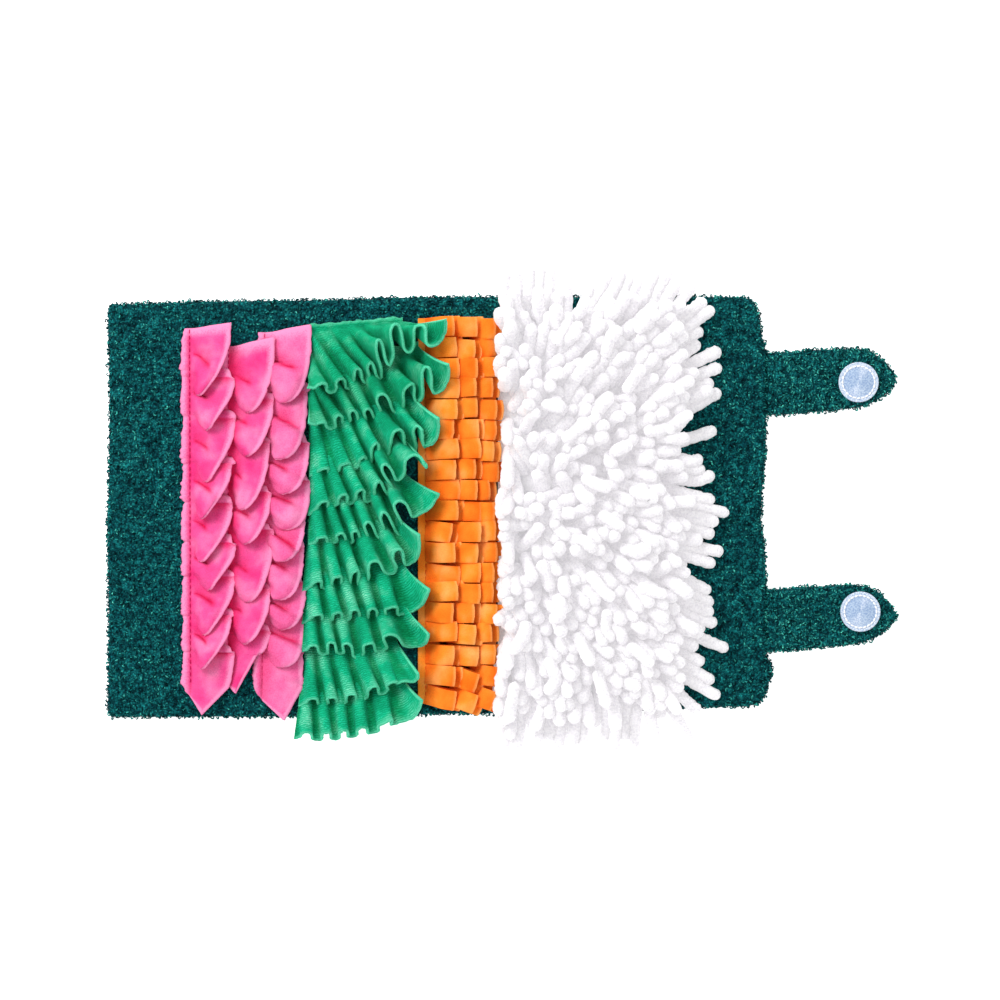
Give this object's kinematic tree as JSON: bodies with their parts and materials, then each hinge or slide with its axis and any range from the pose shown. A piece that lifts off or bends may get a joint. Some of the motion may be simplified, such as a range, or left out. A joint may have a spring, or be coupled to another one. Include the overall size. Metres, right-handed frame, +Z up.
{
  "type": "sushi snuffle toy",
  "caption": "Soft pet foraging mat shaped as an opened sushi roll: curly green base, pink pleats, green ruffles, orange loops, white chenille noodles and closing straps.",
  "frame": {"origin": "middle of the mat's flat underside, the straps not counted", "axes": "+X towards the straps along the mat's length, +Y across the mat, +Z up out of the pile"},
  "size_m": [0.396, 0.2375, 0.0364],
  "materials": {
    "curly_green": "matt curly pile",
    "pink_fleece": "matt short-nap fleece",
    "green_fleece": "soft velvety fleece",
    "orange_fleece": "matt short-nap fleece",
    "white_chenille": "soft fuzzy chenille",
    "fastener_blue": "sewn fastener loop with a slight sheen"
  },
  "bodies": {
    "root": {"base_mat": "curly_green", "strap_upper": "curly_green", "disc_upper": "fastener_blue", "strap_lower": "curly_green", "disc_lower": "fastener_blue", "pink_frill_1": "pink_fleece", "pink_frill_2": "pink_fleece", "pink_frill_3": "pink_fleece", "green_frill_1": "green_fleece", "green_frill_2": "green_fleece", "green_frill_3": "green_fleece", "green_frill_4": "green_fleece", "green_frill_5": "green_fleece", "green_frill_6": "green_fleece", "green_frill_7": "green_fleece", "green_frill_8": "green_fleece", "green_frill_9": "green_fleece", "green_frill_10": "green_fleece", "orange_loops_1": "orange_fleece", "orange_loops_2": "orange_fleece", "orange_loops_3": "orange_fleece", "noodle_pile": "white_chenille"}
  },
  "joints": []
}
